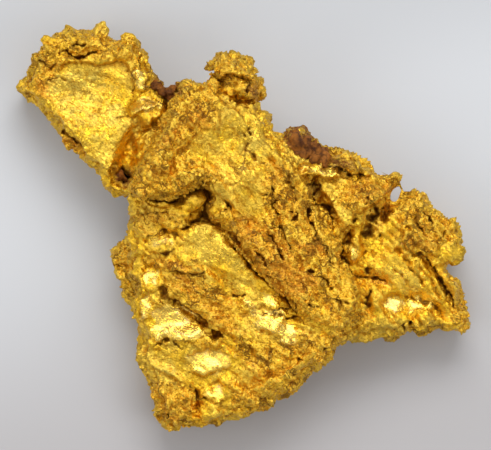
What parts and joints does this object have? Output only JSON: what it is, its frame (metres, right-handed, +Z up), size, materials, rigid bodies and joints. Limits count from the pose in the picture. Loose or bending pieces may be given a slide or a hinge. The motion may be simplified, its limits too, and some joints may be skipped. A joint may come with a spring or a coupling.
{
  "type": "gold nugget",
  "caption": "Flat, folded and crumpled piece of native gold with grains of ironstone lodged in it, lying on the worn flats of its underside.",
  "frame": {"origin": "middle of the outline's box, on the surface that the nugget rests on", "axes": "+X along the nugget's greatest length, +Z up out of its broad face, across its least thickness; +Y follows from the right-hand rule"},
  "size_m": [0.0302, 0.027, 0.0088],
  "materials": {
    "gold": "native gold: bright rubbed faces, dull grainy crust between them",
    "ironstone": "matt, rough"
  },
  "bodies": {
    "root": {"gold_body": "gold", "ironstone_wing": "ironstone", "ironstone_neck": "ironstone", "ironstone_pit": "ironstone"}
  },
  "joints": []
}
